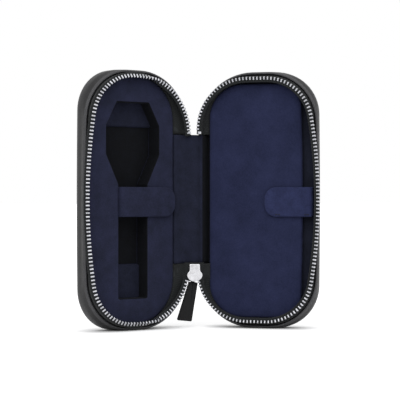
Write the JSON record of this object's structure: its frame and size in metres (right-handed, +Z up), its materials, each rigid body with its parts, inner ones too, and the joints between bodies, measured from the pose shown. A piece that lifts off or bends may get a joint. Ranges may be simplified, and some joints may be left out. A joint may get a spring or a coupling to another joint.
{
  "type": "watch storage case",
  "caption": "Zip-round leather watch case standing open like a book: a padded bed with a keyhole well and strap in one half, a padded panel and strap in the other.",
  "frame": {"origin": "on the table, at the middle of the flat foot of the half with the keyhole well", "axes": "+Z up along the spine; -Y is the way the half with the well faces; +X from that half towards the spine"},
  "size_m": [0.1755, 0.1073, 0.2],
  "materials": {
    "black_leather": "fine-grained black leather, semi-matt",
    "black_leather_edge": "turned and painted leather edge",
    "black_tape": "woven zip tape",
    "zip_metal": "polished nickel plate",
    "navy_suede": "brushed microsuede",
    "grey_board": "hidden stiffener board",
    "black_hook_loop": "hook and loop"
  },
  "bodies": {
    "base_half": {"base_shell": "black_leather", "base_back_board": "grey_board", "base_rim_binding": "black_leather_edge", "base_zip_tape": "black_tape", "base_zip_stop": "zip_metal", "base_zip_teeth": "zip_metal", "base_strap_root": "navy_suede", "base_loop_patch": "black_hook_loop", "base_insert": "navy_suede", "base_well_pad": "navy_suede", "spine_lining": "navy_suede", "spine_leather": "black_leather"},
    "lid_half": {"lid_shell": "black_leather", "lid_back_board": "grey_board", "lid_rim_binding": "black_leather_edge", "lid_zip_tape": "black_tape", "lid_zip_stop": "zip_metal", "lid_zip_teeth": "zip_metal", "lid_strap_root": "navy_suede", "lid_loop_patch": "black_hook_loop", "lid_cushion": "navy_suede", "lid_panel_board": "grey_board", "lid_panel": "navy_suede"},
    "base_strap_arm": {"base_strap": "navy_suede", "base_hook_patch": "black_hook_loop"},
    "lid_strap_arm": {"lid_strap": "navy_suede", "lid_hook_patch": "black_hook_loop"},
    "zip_slider": {"slider_body": "zip_metal", "slider_bail": "zip_metal"},
    "zip_pull": {"pull_link": "zip_metal", "pull_tab": "black_leather"}
  },
  "joints": [
    {"name": "lid_hinge", "type": "hinge", "parent": "base_half", "child": "lid_half", "pos_m": [0.0503, -0.0155, 0.1], "axis": [0, 0, 1], "range_deg": [-126, 26], "deforming": ["spine_lining", "spine_leather"]},
    {"name": "slider_turn", "type": "hinge", "parent": "base_half", "child": "zip_slider", "pos_m": [0.0503, -0.0155, 0.043], "axis": [0, 0, 1], "range_deg": [-63, 13]},
    {"name": "pull_swing", "type": "hinge", "parent": "zip_slider", "child": "zip_pull", "pos_m": [0.05227, -0.0123, 0.046], "axis": [-0.8861, 0.4515, 0.1045], "range_deg": [-95, 0]},
    {"name": "base_strap_lift", "type": "hinge", "parent": "base_half", "child": "base_strap_arm", "pos_m": [-0.01471, -0.0084, 0.0985], "axis": [0, 0, -1], "range_deg": [0, 16]},
    {"name": "lid_strap_lift", "type": "hinge", "parent": "lid_half", "child": "lid_strap_arm", "pos_m": [0.11012, -0.08576, 0.0985], "axis": [0, 0, 1], "range_deg": [0, 13]}
  ],
  "couplings": [
    {"joint": "slider_turn", "follows": "lid_hinge", "ratio": 0.5}
  ]
}
